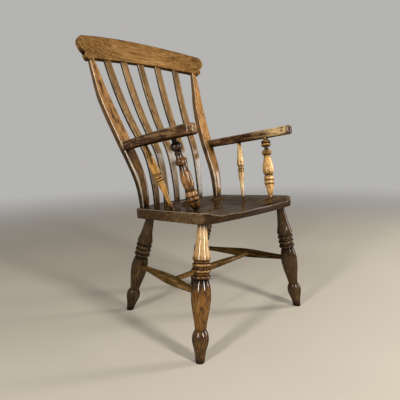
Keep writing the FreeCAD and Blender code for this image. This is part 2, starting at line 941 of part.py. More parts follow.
def arm_screw(side, extra=0.0):
    """Countersunk wood screw, or the space for it"""
    head, tip = arm_screw_axis(side)
    neck = arm_screw_head_depth
    solid = turned((0.0, arm_screw_head_radius + extra), [
        [(neck, arm_screw_radius + extra)],
        [(arm_screw_length - 6.0, arm_screw_radius + extra)],
        [(arm_screw_length + extra, 0.4 + extra)],
    ])
    if extra:
        mouth = Part.makeCylinder(arm_screw_head_radius + extra, stile_sections[4][2] / 2)
        mouth.translate(V(0, 0, -stile_sections[4][2] / 2))
        solid = solid.fuse(mouth)
    else:
        slot = Part.makeBox(3 * arm_screw_head_radius, arm_screw_slot, 2 * arm_screw_slot,
                            V(-1.5 * arm_screw_head_radius, -arm_screw_slot / 2, -arm_screw_slot))
        solid = solid.cut(slot)
    solid.Placement = axis_placement(head, tip)
    return solid


def comb_peg(side, extra=0.0):
    """Peg from the comb's back face through a stile's tenon"""
    x = side * (half_comb - stile_head_inset)
    middle = on_comb(x, stile_head_tenon_depth / 2)
    outward = V(x / comb_bow_radius, math.sqrt(1 - (x / comb_bow_radius) ** 2), 0)
    back = comb_place.Rotation.multVec(outward)
    start = middle + back * (comb_thickness / 2 + comb_lath_line)
    end = middle - back * (comb_thickness / 2 - comb_lath_line - comb_peg_cover)
    return rod(start + back * extra, end - back * extra, comb_peg_radius + extra)


# Assembly

def build():
    """All pieces by node name, each with its sockets cut"""
    pieces = {}
    seat = seat_blank()
    comb = comb_blank()
    seat_tools = []
    comb_tools = []
    for number in range(1, 6):
        pieces["back_lath_%d" % number] = lath(number)
        low, high = lath_sockets(number)
        seat_tools.append(low)
        comb_tools.append(high)
    for name, side in SIDES.items():
        low, high = stile_tenons(side, joint_clearance, socket_end_gap)
        seat_tools.append(low)
        comb_tools.append(high)
        peg_space = comb_peg(side, joint_clearance / 2)
        comb_tools.append(peg_space)
        screw_space = arm_screw(side, joint_clearance / 2)
        post = stile(side, comb)
        pieces["back_stile_" + name] = post.cut([arm_housing(side), peg_space, screw_space])

        heavy = end_sockets(support_axis(side), support_end_radius, support_end_radius,
                            support_foot_depth, support_head_depth)
        slim = end_sockets(spindle_axis(side), spindle_end_radius, spindle_head_radius,
                           spindle_foot_depth, spindle_head_depth)
        seat_tools += [heavy[0], slim[0]]
        pieces["arm_" + name] = arm(side).cut([heavy[1], slim[1], screw_space])
        pieces["arm_support_" + name] = support(side)
        pieces["arm_spindle_" + name] = spindle(side)

        rail_space = side_stretcher_socket(side)
        for front, place in ((True, "front"), (False, "back")):
            pieces["%s_leg_%s" % (place, name)] = leg(front, side).cut(rail_space)
            seat_tools.append(leg_socket(front, side))
        pieces["side_stretcher_" + name] = side_stretcher(side).cut(cross_stretcher_socket())
    pieces["cross_stretcher"] = cross_stretcher()
    pieces["seat"] = seat.cut(seat_tools)
    pieces["comb"] = comb.cut(comb_tools)
    pieces["arm_screws"] = Part.makeCompound([arm_screw(side) for side in SIDES.values()])
    pieces["comb_pegs"] = Part.makeCompound([comb_peg(side) for side in SIDES.values()])
    return pieces


def export(pieces):
    """Write one file for each node"""
    os.makedirs("parts", exist_ok=True)
    for name, shape in sorted(pieces.items()):
        shape.exportStep(os.path.join("parts", name + ".step"))
        box = shape.BoundBox
        print("%-22s solids %d valid %s volume %.1f cm3  x %.0f..%.0f y %.0f..%.0f z %.0f..%.0f" % (
            name, len(shape.Solids), shape.isValid(), shape.Volume / 1000,
            box.XMin, box.XMax, box.YMin, box.YMax, box.ZMin, box.ZMax))


export(build())
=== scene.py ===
import math

import bmesh
import bpy
from bpy.props import FloatProperty, FloatVectorProperty, PointerProperty
from mathutils import Matrix, Vector

bl_info = {
    "name": "Lath-back armchair",
    "version": (1, 0, 0),
    "blender": (4, 5, 0),
    "location": "3D view > Sidebar > Chair",
    "description": "Old polished wood for a turned armchair, with its studio",
    "category": "Object",
}

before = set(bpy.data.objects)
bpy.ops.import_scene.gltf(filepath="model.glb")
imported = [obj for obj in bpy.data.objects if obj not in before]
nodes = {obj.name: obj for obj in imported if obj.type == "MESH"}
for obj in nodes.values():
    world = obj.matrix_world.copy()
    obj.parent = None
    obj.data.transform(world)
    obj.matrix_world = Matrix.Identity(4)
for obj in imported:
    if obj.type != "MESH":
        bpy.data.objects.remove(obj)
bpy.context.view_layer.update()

SIDES = ("right", "left")
LATHS = ["back_lath_%d" % number for number in range(1, 6)]

# Axes of the chair, and their directions as its sitter would name them
X, Y, Z = range(3)
LEFTWARD = Vector((1, 0, 0))
BACKWARD = Vector((0, 1, 0))
UPWARD = Vector((0, 0, 1))


# Sizes and colours that a user would change

def colour_property(name, text, default):
    """Linear colour that a user can change"""
    return FloatVectorProperty(name=name, description=text, default=default, subtype="COLOR", min=0, max=1)


def length_property(name, text, default):
    """Length in metres that a user can change"""
    return FloatProperty(name=name, description=text, default=default, unit="LENGTH", subtype="DISTANCE")


def share_property(name, text, default):
    """Share from 0 to 1 that a user can change"""
    return FloatProperty(name=name, description=text, default=default, min=0, max=1, subtype="FACTOR")


class WoodColours(bpy.types.PropertyGroup):
    """Middle colour of each group of pieces, and of what lies on them, some of which also stands for painted
    shade and painted highlights
    """
    comb: colour_property("Comb", "Dry golden brown of the comb", (0.215, 0.108, 0.032))
    laths: colour_property("Laths", "Golden brown of the laths", (0.21, 0.115, 0.04))
    stiles: colour_property("Stiles", "Orange brown of the stiles", (0.29, 0.14, 0.042))
    arms: colour_property("Arms", "Dark brown of the arms", (0.085, 0.035, 0.009))
    seat: colour_property("Seat", "Dark brown of the seat", (0.050, 0.022, 0.005))
    worn_leg: colour_property("Worn leg", "Orange brown of the right front leg", (0.165, 0.066, 0.006))
    dark_legs: colour_property("Dark legs", "Dark brown of the other three legs", (0.046, 0.021, 0.003))
    stretchers: colour_property("Stretchers", "Dull brown of the stretchers", (0.11, 0.058, 0.015))
    support: colour_property("Arm support", "Mottled brown of the right arm support", (0.15, 0.058, 0.009))
    spindles: colour_property("Arm spindles", "Honey brown of the spindles and left support",
                              (0.52, 0.26, 0.055))
    # This dark colour also stands for painted shade in grooves, corners, under the pieces and on their shaded
    # sides
    grime_and_shade: colour_property("Grime", "Old wax and dirt in grooves and corners", (0.006, 0.003, 0.0015))
    wear: colour_property("Wear", "Bare wood where it is rubbed", (0.80, 0.56, 0.27))
    # A pale line along rounded edges: partly wear, partly a painted highlight
    arris_wear_and_highlight: colour_property("Arris", "Pale worn line along a rounded edge", (0.95, 0.8, 0.6))
    steel: colour_property("Screws", "Old steel of the arm screws", (0.22, 0.20, 0.17))


class WoodFinish(bpy.types.PropertyGroup):
    """Polish, dirt and painted shade, and wear of the wood"""
    # These reaches spread a darkening from grooves and joints that is partly dirt and partly painted shade
    groove_reach: length_property("Groove reach", "How far grime spreads out of a groove", 0.014)
    corner_reach: length_property("Corner reach", "How far grime spreads from a joint", 0.035)
    edge_width: length_property("Edge width", "Width of a rubbed edge", 0.003)
    polish: share_property("Polish", "Weight of the wax coat where it is handled", 0.5)
    dull_polish: share_property("Dull polish", "Weight of the wax coat on the comb, pegs and stretchers",
                                0.12)


class StudioSizes(bpy.types.PropertyGroup):
    """Camera, lamps and floor"""
    camera_place: FloatVectorProperty(
        name="Camera place", description="Where the camera stands", default=(-1.0615, -1.071, 0.64),
        unit="LENGTH", subtype="TRANSLATION")
    camera_yaw: FloatProperty(
        name="Camera yaw", description="Turn of the view from the back direction towards the sitter's left",
        default=math.radians(45.96), unit="ROTATION", subtype="ANGLE")
    camera_pitch: FloatProperty(
        name="Camera pitch", description="Fall of the view below level",
        default=math.radians(7.99), unit="ROTATION", subtype="ANGLE")
    camera_roll: FloatProperty(
        name="Camera roll", description="Turn of the camera about its view",
        default=math.radians(1.51), unit="ROTATION", subtype="ANGLE")
    lens: FloatProperty(
        name="Lens", description="Focal length on a 36 mm frame, in millimetres", default=35.89)
    lamp_distance: length_property("Lamp distance", "From the chair's middle to each window light", 3.0)
    floor_reach: length_property("Floor reach", "From the chair's middle to where the floor has faded", 6.0)
    floor_colour: colour_property("Floor", "Pale floor", (0.68, 0.61, 0.50))
    wall_colour: colour_property("Backdrop", "Plain pale backdrop", (0.46, 0.455, 0.44))
    fill_colour: colour_property("Fill", "Light from all round", (0.15, 0.15, 0.15))


class ChairSettings(bpy.types.PropertyGroup):
    """Everything that a user can set"""
    colours: PointerProperty(type=WoodColours)
    finish: PointerProperty(type=WoodFinish)
    studio: PointerProperty(type=StudioSizes)


# Helpers for shader nodes

def add(tree, kind, inputs=None, **settings):
    """New node, with its inputs set to values or joined to other nodes' outputs"""
    node = tree.nodes.new(kind)
    for name, value in settings.items():
        setattr(node, name, value)
    for key, value in (inputs or {}).items():
        if isinstance(value, bpy.types.NodeSocket):
            tree.links.new(value, node.inputs[key])
        else:
            node.inputs[key].default_value = value
    return node


def calc(tree, operation, first, second=0.0, clamp=False):
    """Result of one sum on two values"""
    return add(tree, "ShaderNodeMath", {0: first, 1: second}, operation=operation, use_clamp=clamp).outputs[0]


def fade(tree, value, low, high, start=0.0, end=1.0):
    """Soft step of a value from low to high"""
    inputs = {"Value": value, "From Min": low, "From Max": high, "To Min": start, "To Max": end}
    return add(tree, "ShaderNodeMapRange", inputs, interpolation_type="SMOOTHSTEP").outputs["Result"]


def blend(tree, factor, first, second, blend_type="MIX"):
    """Mix of two colours"""
    inputs = {0: factor, 6: first, 7: second}
    return add(tree, "ShaderNodeMix", inputs, data_type="RGBA", blend_type=blend_type).outputs[2]


def cloud(tree, place, stretch, detail=3.0, roughness=0.55, distortion=0.0):
    """Noise from 0 to 1, with its waves in a metre along each axis given by stretch"""
    scaled = add(tree, "ShaderNodeVectorMath", {0: place, 1: stretch}, operation="MULTIPLY").outputs[0]
    return add(tree, "ShaderNodeTexNoise", {
        "Vector": scaled, "Scale": 1.0, "Detail": detail, "Roughness": roughness, "Distortion": distortion,
    }).outputs["Fac"]


def new_group(name, inputs, outputs):
    """Empty node group with its sockets, listed by their kind, and its input and output nodes"""
    tree = bpy.data.node_groups.new(name, "ShaderNodeTree")
    for direction, sockets in (("INPUT", inputs), ("OUTPUT", outputs)):
        for kind, labels in sockets.items():
            for label in labels:
                tree.interface.new_socket(label, in_out=direction, socket_type="NodeSocket" + kind)
    return tree, tree.nodes.new("NodeGroupInput"), tree.nodes.new("NodeGroupOutput")


def give(tree, target, values):
    """Join a group's results to its output node"""
    for label, value in values.items():
        tree.links.new(value, target.inputs[label])


# Waves of each pattern in a metre, twice across the grain and then along it
RING_WAVES = (20.0, 20.0, 1.7)
BROAD_WAVES = (75.0, 75.0, 3.2)
NARROW_WAVES = (230.0, 230.0, 7.0)
FIBRE_WAVES = (420.0, 420.0, 15.0)
SPECK_WAVES = (165.0, 165.0, 80.0)
CLOUD_WAVES = (60.0, 60.0, 26.0)

# Where each pattern starts and is full
RING_RISE = (0.0, 0.7)
RING_FALL = (1.0, 0.86)
STREAK_STEP = (0.7, 1.3)
SPECK_STEP = (0.58, 0.67)
CLOUD_STEP = (0.32, 0.68)

# Rings from the lowest to the highest value of their noise, and the shift of all patterns by the seed
RING_COUNT = 15.0
SEED_SHIFTS = {"X": 0.37, "Y": 0.23, "Z": 1.31}


def grain_group():
    """Rings, streaks, fibres, specks and clouds of wood that grows along Z"""
    tree, given, result = new_group(
        "Wood grain", {"Vector": ["Place"], "Float": ["Seed"]},
        {"Float": ["Rings", "Streaks", "Fibres", "Specks", "Clouds"]})
    shift = add(tree, "ShaderNodeCombineXYZ", {
        axis: calc(tree, "MULTIPLY", given.outputs["Seed"], length) for axis, length in SEED_SHIFTS.items()
    }).outputs[0]
    place = add(
        tree, "ShaderNodeVectorMath", {0: given.outputs["Place"], 1: shift}, operation="ADD").outputs[0]
    hills = cloud(tree, place, RING_WAVES, detail=1.5, roughness=0.5)
    ring = calc(tree, "FRACT", calc(tree, "MULTIPLY", hills, RING_COUNT))
    broad = cloud(tree, place, BROAD_WAVES, roughness=0.6)
    narrow = cloud(tree, place, NARROW_WAVES, roughness=0.6)
    specks = cloud(tree, place, SPECK_WAVES, roughness=0.6, distortion=0.4)
    clouds = cloud(tree, place, CLOUD_WAVES, detail=4.0, roughness=0.65)
    give(tree, result, {
        "Rings": calc(tree, "MULTIPLY", fade(tree, ring, *RING_RISE), fade(tree, ring, *RING_FALL)),
        "Streaks": fade(tree, calc(tree, "ADD", broad, narrow), *STREAK_STEP),
        "Fibres": cloud(tree, place, FIBRE_WAVES, roughness=0.6),
        "Specks": fade(tree, specks, *SPECK_STEP),
        "Clouds": fade(tree, clouds, *CLOUD_STEP),
    })


# Middle of the tones and of the patterns, which all go from 0 to 1
MIDDLE = 0.5

# What the colour is multiplied by at tones 0 and 1, and how far tone 1 goes to bare wood
DARK_TINT = (0.17, 0.155, 0.08, 1)
LIGHT_TINT = (1.6, 1.55, 1.5, 1)
LIGHT_WEAR = 0.15

# How much of the patterns is left on dark and on light tones: tones from and to, share at each
DARK_SPREAD = (0.0, 0.45, 0.25, 1.0)
LIGHT_SPREAD = (0.75, 1.0, 1.0, 0.3)
FIBRE_WEIGHT = 0.7

# How unevenly each thing lies: its pattern's values from and to, strength at each
RUBBED_PATCHES = (0.1, 1.0, 0.1, 1.8)
EDGE_PATCHES = (0.1, 0.6, 0.4, 1.0)
LINE_PATCHES = (0.35, 0.6, 0.25, 1.0)
GRIME_AND_SHADE_PATCHES = (0.25, 0.7, 1.0, 0.85)
CORNER_WEIGHT = 0.9

# What the mask of dirt and painted shade and the patterns do to the roughness, the polish and the height
GRIME_AND_SHADE_ROUGHNESS = 0.25
CLOUD_ROUGHNESS = 0.12
GRIME_AND_SHADE_DULLING = 0.7
FIBRE_HEIGHT = 0.6
STREAK_HEIGHT = 0.15
SPECK_DEPTH = 0.3


def old_wood_group():
    """Colour, roughness, wax and height of old polished wood"""
    tree, given, result = new_group(
        "Old wood",
        {
            "Vector": ["Place"],
            "Color": ["Colour", "Grime and shade colour", "Wear colour", "Arris wear and highlight colour"],
            "Float": ["Seed", "Tone", "Rubbed", "Figure", "Streaks", "Mottle", "Specks", "Wear", "Roughness",
                      "Polish", "Grooves", "Corners", "Edges", "Shade and dirt", "Calm", "Arris wear and highlights"],
        },
        {"Color": ["Colour"], "Float": ["Roughness", "Polish", "Height"]})
    seen = given.outputs
    grain = add(tree, "ShaderNodeGroup", {"Place": seen["Place"], "Seed": seen["Seed"]},
                node_tree=bpy.data.node_groups["Wood grain"]).outputs

    # Tone, which the patterns move less where it is very dark or light, or calm
    tone = seen["Tone"]
    spread = calc(tree, "MULTIPLY", fade(tree, tone, *DARK_SPREAD), fade(tree, tone, *LIGHT_SPREAD))
    spread = calc(tree, "MULTIPLY", spread, calc(tree, "SUBTRACT", 1.0, seen["Calm"]))
    for label, weight in (("Rings", seen["Figure"]), ("Streaks", seen["Streaks"]),
                          ("Clouds", seen["Mottle"]), ("Fibres", FIBRE_WEIGHT)):
        part = calc(tree, "MULTIPLY", calc(tree, "SUBTRACT", grain[label], MIDDLE), weight)
        tone = calc(tree, "ADD", tone, calc(tree, "MULTIPLY", part, spread))

    # Colour from the tone, then rubbed towards bare wood, with dark specks
    dark = blend(tree, 1.0, seen["Colour"], DARK_TINT, "MULTIPLY")
    light = blend(tree, 1.0, seen["Colour"], LIGHT_TINT, "MULTIPLY")
    light = blend(tree, LIGHT_WEAR, light, seen["Wear colour"])
    lower = blend(tree, fade(tree, tone, 0.0, MIDDLE), dark, seen["Colour"])
    colour = blend(tree, fade(tree, tone, MIDDLE, 1.0), lower, light)
    rubbed = calc(tree, "MULTIPLY", seen["Rubbed"], fade(tree, tone, *RUBBED_PATCHES), clamp=True)
    colour = blend(tree, rubbed, colour, seen["Wear colour"])
    specks = calc(tree, "MULTIPLY", grain["Specks"], seen["Specks"])
    colour = blend(tree, specks, colour, seen["Grime and shade colour"])

    # Rubbed edges; dirt and painted shade over them in grooves, corners and on shaded faces; and over that
    # pale lines along rounded edges, partly wear and partly a painted highlight
    edges = calc(tree, "MULTIPLY", seen["Edges"], fade(tree, grain["Clouds"], *EDGE_PATCHES))
    colour = blend(tree, calc(tree, "MULTIPLY", edges, seen["Wear"]), colour, seen["Wear colour"])
    # Grooves, joints and shaded faces darken: partly dirt, partly painted shade
    grime_and_shade = calc(tree, "MAXIMUM", seen["Grooves"], calc(tree, "MULTIPLY", seen["Corners"], CORNER_WEIGHT))
    grime_and_shade = calc(tree, "MAXIMUM", grime_and_shade, seen["Shade and dirt"])
    grime_and_shade = calc(tree, "MULTIPLY", grime_and_shade, fade(tree, grain["Fibres"], *GRIME_AND_SHADE_PATCHES), clamp=True)
    colour = blend(tree, grime_and_shade, colour, seen["Grime and shade colour"])
    # Pale lines along rounded edges facing the front and top: partly wear, partly a painted highlight
    lines = calc(tree, "MULTIPLY", seen["Arris wear and highlights"], fade(tree, grain["Fibres"], *LINE_PATCHES))
    colour = blend(tree, lines, colour, seen["Arris wear and highlight colour"])

    rough = calc(tree, "ADD", seen["Roughness"], calc(tree, "MULTIPLY", grime_and_shade, GRIME_AND_SHADE_ROUGHNESS))
    uneven = calc(tree, "MULTIPLY", calc(tree, "SUBTRACT", grain["Clouds"], MIDDLE), CLOUD_ROUGHNESS)
    clean = calc(tree, "SUBTRACT", 1.0, calc(tree, "MULTIPLY", grime_and_shade, GRIME_AND_SHADE_DULLING))
    height = calc(tree, "MULTIPLY", grain["Fibres"], FIBRE_HEIGHT)
    height = calc(tree, "ADD", height, calc(tree, "MULTIPLY", grain["Streaks"], STREAK_HEIGHT))
    give(tree, result, {
        "Colour": colour,
        "Roughness": calc(tree, "ADD", rough, uneven, clamp=True),
        "Polish": calc(tree, "MULTIPLY", seen["Polish"], clean),
        "Height": calc(tree, "SUBTRACT", height, calc(tree, "MULTIPLY", grain["Specks"], SPECK_DEPTH)),
    })


# Places along the pieces

# Share of a piece's length that counts as its end
END_SHARE = 0.02


def ends(name, axis):
    """Middles of a node's two ends along an axis of the chair"""
    points = [vertex.co for vertex in nodes[name].data.vertices]
    low = min(point[axis] for point in points)
    high = max(point[axis] for point in points)
    reach = END_SHARE * (high - low)
    first = [point for point in points if point[axis] < low + reach]
    last = [point for point in points if point[axis] > high - reach]
    return sum(first, Vector()) / len(first), sum(last, Vector()) / len(last)


def grain_place(start, end, across):
    """Shift and turn that lay Z along a piece from its start, with X across it"""
    along = (end - start).normalized()
    wide = (across - along * across.dot(along)).normalized()
    turn = Matrix((wide, along.cross(wide), along))
    return -(turn @ start), turn.to_euler()


# Where each mask starts and is full
GROOVE_STEP = (0.99, 0.88)
CORNER_STEP = (0.95, 0.52)
EDGE_STEP = (0.985, 0.86)
FACE_STEP = (0.35, 0.85)
ARRIS_STEP = (0.93, 0.985)
GLANCE_STEP = (0.25, 0.85)

BUMP_STRENGTH = 0.6
WAX_IOR = 1.5


def dot_product(tree, first, second):
    """Product of two directions, which is 1 where they are the same"""
    return add(tree, "ShaderNodeVectorMath", {0: first, 1: second}, operation="DOT_PRODUCT").outputs["Value"]


def dirty_shaded_and_worn_places(tree, finish):
    """Masks of the grooves and corners, darkened with dirt and painted shade, and of the rubbed edges of a
    piece
    """
    near = add(tree, "ShaderNodeAmbientOcclusion", {"Distance": finish.groove_reach},
               samples=12, only_local=True)
    wide = add(tree, "ShaderNodeAmbientOcclusion", {"Distance": finish.corner_reach}, samples=12)
    rounded = add(tree, "ShaderNodeBevel", {"Radius": finish.edge_width}, samples=6).outputs[0]
    normal = add(tree, "ShaderNodeNewGeometry").outputs["Normal"]
    return {
        "Grooves": fade(tree, near.outputs["AO"], *GROOVE_STEP),
        "Corners": fade(tree, wide.outputs["AO"], *CORNER_STEP),
        "Edges": fade(tree, dot_product(tree, rounded, normal), *EDGE_STEP),
    }


def facing_mask(tree, normal, directions, step=FACE_STEP):
    """Mask of the faces that look in any of some directions, each with its weight"""
    mask = 0.0
    for direction, weight in directions:
        faces = fade(tree, dot_product(tree, normal, direction), *step, 0.0, weight)
        mask = calc(tree, "MAXIMUM", faces, mask)
    return mask


def both_sides(x, y, z, weight):
    """A direction and its mirror image across the chair's middle, with their weight"""
    return ((-x, y, z), weight), ((x, y, z), weight)


# Faces by their direction, each with its weight: undersides darkened as painted shade, and rounded edges on
# the front and top given pale lines, partly wear and partly a painted highlight
UNDERSIDE_SHADE = ((0, 0, -1), 0.8)
FRONT_ARRISES = both_sides(0.7, -0.68, 0.2, 0.75)
TOP_ARRISES = both_sides(0.7, 0, 0.7, 0.35)


def lay_tones(ramp, tones):
    """Lay the stops of a ramp: tones in its colour, and how far the wood is rubbed bare in its alpha"""
    ramp.interpolation = "EASE"
    while len(ramp.elements) > 1:
        ramp.elements.remove(ramp.elements[-1])
    for number, (share, tone, *rubbed) in enumerate(tones):
        stop = ramp.elements[0] if number == 0 else ramp.elements.new(share)
        stop.position = share
        stop.color = (tone, tone, tone, rubbed[0] if rubbed else 0)


# Unless given other faces, every piece's underside is darkened as painted shade
def wood(name, colour, start, end, across=LEFTWARD, *, seed, wear, polish,
         tones=((0.0, MIDDLE), (1.0, MIDDLE)), shade_and_dirt=(UNDERSIDE_SHADE,), calm=(), arris_wear_and_highlights=(), figure=0.12,
         streaks=0.5, mottle=0.4, specks=0.4, roughness=0.4, gloss=0.14, glancing=0.12, bump=0.0004):
    """Wood of one piece, whose grain runs from start to end

    seed: moves the pattern, so that no two pieces are alike
    tones: share of that length, tone from 0 for dark to 1 for light, and how far it is rubbed bare, if at all
    grimy, calm, arrises: faces darkened with painted shade and with dirt, faces with a weaker pattern, and
    faces with a pale line that is partly wear and partly a painted highlight, by their direction
    figure, streaks, mottle, specks, wear: strength of the rings, streaks, clouds, specks and rubbed edges
    polish, gloss, glancing: weight and roughness of the wax, and the share of it left at a flat angle
    """
    settings = bpy.context.scene.chair
    material = bpy.data.materials.new(name)
    material.use_nodes = True
    tree = material.node_tree
    tree.nodes.clear()
    shift, turn = grain_place(start, end, across)
    seen = add(tree, "ShaderNodeTexCoord").outputs
    place = add(tree, "ShaderNodeMapping", {
        "Vector": seen["Object"], "Location": shift, "Rotation": turn}).outputs[0]
    along = add(tree, "ShaderNodeSeparateXYZ", {0: place}).outputs["Z"]
    ramp = add(tree, "ShaderNodeValToRGB", {0: calc(tree, "DIVIDE", along, (end - start).length)})
    lay_tones(ramp.color_ramp, tones)
    old = add(tree, "ShaderNodeGroup", {
        "Place": place, "Seed": seed, "Colour": (*colour, 1),
        "Grime and shade colour": (*settings.colours.grime_and_shade, 1), "Wear colour": (*settings.colours.wear, 1),
        "Arris wear and highlight colour": (*settings.colours.arris_wear_and_highlight, 1),
        "Tone": ramp.outputs["Color"], "Rubbed": ramp.outputs["Alpha"], "Figure": figure, "Streaks": streaks,
        "Mottle": mottle, "Specks": specks, "Wear": wear, "Roughness": roughness, "Polish": polish,
        "Shade and dirt": facing_mask(tree, seen["Normal"], shade_and_dirt), "Calm": facing_mask(tree, seen["Normal"], calm),
        "Arris wear and highlights": facing_mask(tree, seen["Normal"], arris_wear_and_highlights, ARRIS_STEP),
        **dirty_shaded_and_worn_places(tree, settings.finish),
    }, node_tree=bpy.data.node_groups["Old wood"]).outputs
    relief = add(tree, "ShaderNodeBump", {
        "Height": old["Height"], "Distance": bump, "Strength": BUMP_STRENGTH}).outputs[0]
    # The wax fades at flat angles, where it would only mirror the pale room
    glance = add(tree, "ShaderNodeLayerWeight", {"Blend": 0.5}).outputs["Facing"]
    wax = calc(tree, "MULTIPLY", old["Polish"], fade(tree, glance, *GLANCE_STEP, 1.0, glancing))
    shader = add(tree, "ShaderNodeBsdfPrincipled", {
        "Base Color": old["Colour"], "Roughness": old["Roughness"], "Specular IOR Level": 0.0,
        "Coat Weight": wax, "Coat Roughness": gloss, "Coat IOR": WAX_IOR, "Normal": relief,
    })
    add(tree, "ShaderNodeOutputMaterial", {"Surface": shader.outputs[0]})
    return material


def wood_name(name):
    """Name of a piece's wood, from the name of the piece"""
    return name.replace("_", " ").capitalize() + " wood"


def dress(name, material):
    """Give a node its material"""
    if not nodes[name].material_slots:
        nodes[name].data.materials.append(material)
    for slot in nodes[name].material_slots:
        slot.material = material


# Finish of each group of pieces

class CHAIR_OT_seat(bpy.types.Operator):
    """Wax the seat, with its grain from side to side"""
    bl_idname = "chair.seat"
    bl_label = "Finish the seat"

    def execute(self, context):
        settings = context.scene.chair
        right, left = ends("seat", X)
        dress("seat", wood(
            "Waxed elm", settings.colours.seat, right, left, BACKWARD, seed=1.0,
            tones=((0.0, 0.72), (0.02, 0.5), (0.7, 0.5), (1.0, 0.6)),
            # The front face and the underside are darkened as painted shade; the top edges get pale lines,
            # partly wear and partly a painted highlight
            shade_and_dirt=(UNDERSIDE_SHADE, ((0, -1, 0), 0.55)), calm=(((0, -1, 0), 0.3), *both_sides(1, 0, 0, 0.5)),
            arris_wear_and_highlights=(*TOP_ARRISES, ((-0.5, -0.5, 0.7), 0.35), ((0, -0.7, 0.7), 0.2)),
            figure=0.15, streaks=0.55, mottle=0.2, specks=0.1, wear=0.5, roughness=0.45,
            polish=1.2 * settings.finish.polish, gloss=0.17, glancing=0.4))
        return {"FINISHED"}


class CHAIR_OT_legs(bpy.types.Operator):
    """Polish the legs, the right front one golden on its cone and dark at its foot"""
    bl_idname = "chair.legs"
    bl_label = "Finish the legs"

    def execute(self, context):
        settings = context.scene.chair
        # The right front leg's cone is golden and rubbed pale: partly wear, partly a painted highlight
        golden = ((0.0, 0.12), (0.1, 0.2), (0.17, 0.1), (0.25, 0.3), (0.36, 0.47), (0.46, 0.4), (0.56, 0.0),
                  (0.6, 0.7), (0.7, 0.75), (0.73, 0.95, 0.18), (0.88, 0.95, 0.22), (0.96, 0.35))
        plain = ((0.0, 0.5), (0.2, 0.4), (0.4, 0.5), (0.55, 0.35), (0.62, 0.7), (0.72, 0.55), (1.0, 0.35))
        worn = (settings.colours.worn_leg, golden, 0.5, 1.8)
        dark = (settings.colours.dark_legs, plain, 0.35, 1.3)
        for number, (name, (colour, tones, blotches, shine)) in enumerate((
                ("front_leg_right", worn), ("front_leg_left", dark),
                ("back_leg_right", dark), ("back_leg_left", dark))):
            foot, top = ends(name, Z)
            dress(name, wood(
                wood_name(name), colour, foot, top, seed=2.0 + number, tones=tones,
                figure=0.1, streaks=blotches, mottle=blotches, specks=0.9, wear=0.15, roughness=0.38,
                polish=shine * settings.finish.polish, gloss=0.07))
        return {"FINISHED"}


class CHAIR_OT_stretchers(bpy.types.Operator):
    """Leave the stretchers dull and dark"""
    bl_idname = "chair.stretchers"
    bl_label = "Finish the stretchers"

    def execute(self, context):
        settings = context.scene.chair
        for number, (name, axis, tone) in enumerate((
                ("side_stretcher_right", Y, 0.6), ("side_stretcher_left", Y, 0.2),
                ("cross_stretcher", X, 0.35))):
            start, end = ends(name, axis)
            dress(name, wood(
                wood_name(name), settings.colours.stretchers, start, end, UPWARD, seed=8.0 + number,
                tones=((0.0, tone), (1.0, tone)), figure=0.1, specks=0.9, wear=0.2, roughness=0.5,
                polish=settings.finish.dull_polish))
        return {"FINISHED"}


class CHAIR_OT_stiles(bpy.types.Operator):
    """Polish the two stiles, golden above the arms and dark below them"""
    bl_idname = "chair.stiles"
    bl_label = "Finish the stiles"

    def execute(self, context):
        settings = context.scene.chair
        tones = {
            "right": ((0.0, 0.05), (0.2, 0.12), (0.36, 0.06), (0.43, 0.4), (0.6, 0.45), (0.8, 0.45),
                      (1.0, 0.5)),
            "left": ((0.0, 0.3), (0.2, 0.35), (0.36, 0.25), (0.43, 0.5), (0.6, 0.65), (0.8, 0.65),
                     (1.0, 0.5)),
        }
        shine = {"right": 1.5, "left": 0.8}
        for number, side in enumerate(SIDES):
            name = "back_stile_" + side
            foot, head = ends(name, Z)
            dress(name, wood(
                wood_name("stile_" + side), settings.colours.stiles, foot, head,
                seed=12.0 + number, tones=tones[side],
                # The sides and undersides are darkened as painted shade; the front edges get pale lines,
                # partly wear and partly a painted highlight
                shade_and_dirt=(UNDERSIDE_SHADE, *both_sides(1, 0, 0, 0.6)), arris_wear_and_highlights=FRONT_ARRISES,
                figure=0.1, mottle=0.5, specks=0.7, wear=0.9,
                polish=shine[side] * settings.finish.polish, gloss=0.1))
        return {"FINISHED"}


class CHAIR_OT_laths(bpy.types.Operator):
    """Polish the five laths, whose sides are darkened, partly with dirt and partly with painted shade"""
    bl_idname = "chair.laths"
    bl_label = "Finish the laths"

    def execute(self, context):
        settings = context.scene.chair
        for number, name in enumerate(LATHS):
            foot, head = ends(name, Z)
            dress(name, wood(
                wood_name(name), settings.colours.laths, foot, head, seed=15.0 + number,
                tones=((0.0, 0.15), (0.25, 0.25), (0.45, 0.5), (0.8, 0.5), (1.0, 0.4)),
                # The sides are darkened, partly dirt and partly painted shade, and the undersides as painted
                # shade; the front edges get pale lines, partly wear and partly a painted highlight
                shade_and_dirt=(UNDERSIDE_SHADE, *both_sides(1, 0, 0, 0.85)), arris_wear_and_highlights=FRONT_ARRISES,
                figure=0.1, streaks=0.6, mottle=0.25, wear=0.7,
                polish=1.4 * settings.finish.polish, gloss=0.2, bump=0.00015))
        return {"FINISHED"}


